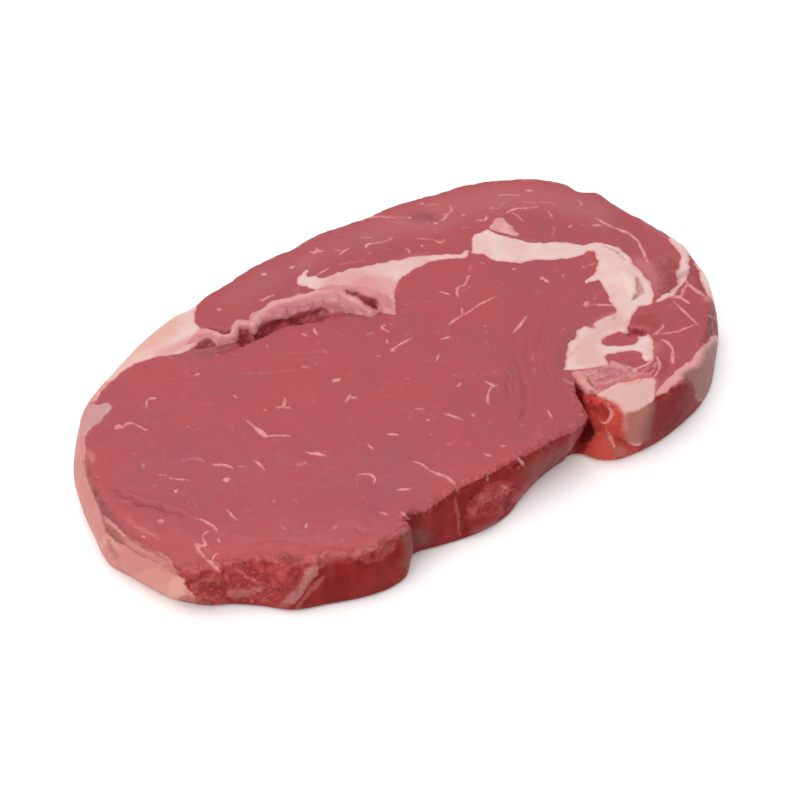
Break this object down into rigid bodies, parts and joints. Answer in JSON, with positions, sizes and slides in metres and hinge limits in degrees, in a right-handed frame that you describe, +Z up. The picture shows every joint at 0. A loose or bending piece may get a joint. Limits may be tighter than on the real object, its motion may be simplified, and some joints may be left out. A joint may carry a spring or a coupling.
{
  "type": "raw ribeye steak",
  "caption": "Raw boneless ribeye steak lying flat: a lean eye muscle and a cap muscle round a band of fat, with a torn seam and a fatty lobe at one end.",
  "frame": {"origin": "centre of the bounding box, on the surface the steak lies on", "axes": "+X along the long side towards the fatty end, +Y towards the cap muscle at the back, +Z up through the slice"},
  "size_m": [0.2154, 0.1268, 0.0254],
  "materials": {
    "meat": "moist raw meat with pale pink fat, soft semi-gloss"
  },
  "bodies": {
    "root": {"steak": "meat"}
  },
  "joints": []
}
